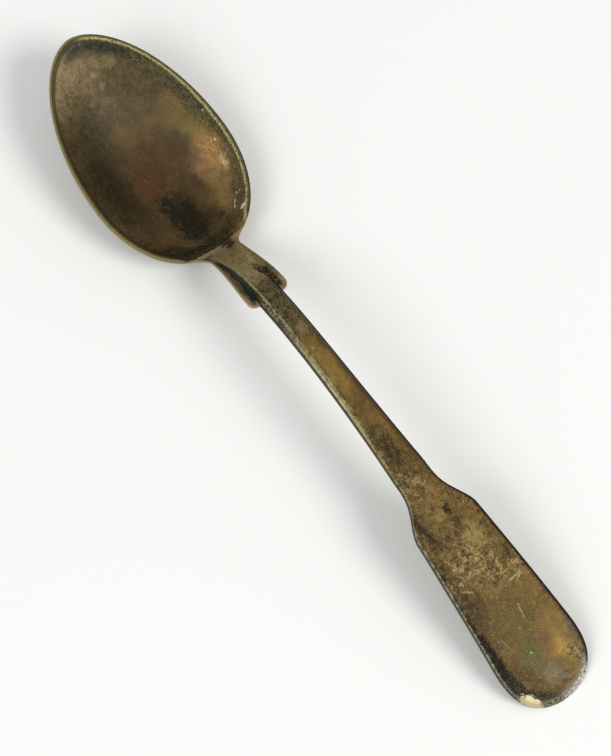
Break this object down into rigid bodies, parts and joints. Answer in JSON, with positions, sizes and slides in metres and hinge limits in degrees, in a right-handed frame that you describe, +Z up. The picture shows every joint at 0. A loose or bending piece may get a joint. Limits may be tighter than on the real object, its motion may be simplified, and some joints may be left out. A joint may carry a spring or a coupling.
{
  "type": "teaspoon",
  "caption": "Shouldered fiddle-pattern teaspoon: egg-shaped bowl with a heel, eared neck, arched stem and a flat rounded handle blade, in tarnished silver plate",
  "frame": {"origin": "The middle of the spoon's length on its centre line, on the table that it lies on", "axes": "+X from the bowl's tip to the handle's end, +Y to the side that is on the left when one looks along +X, +Z up out of the bowl"},
  "size_m": [0.14, 0.0274, 0.016],
  "materials": {
    "bowl_plate": "brown-tarnished silver plate, satin, darker in the hollow, bare along the rim",
    "back_plate": "tarnished silver plate, satin, worn",
    "shoulder_plate": "tarnished silver plate, nearly black in the groove, coppery where the ears are worn",
    "stem_plate": "golden-brown tarnish with dark pitting, silvery along the flanks",
    "blade_plate": "golden-brown tarnish with pale crust, rainbow film near the end, silvery worn edge"
  },
  "bodies": {
    "root": {"bowl": "bowl_plate", "heel": "back_plate", "left_shoulder": "shoulder_plate", "right_shoulder": "shoulder_plate", "stem": "stem_plate", "handle_blade": "blade_plate"}
  },
  "joints": []
}
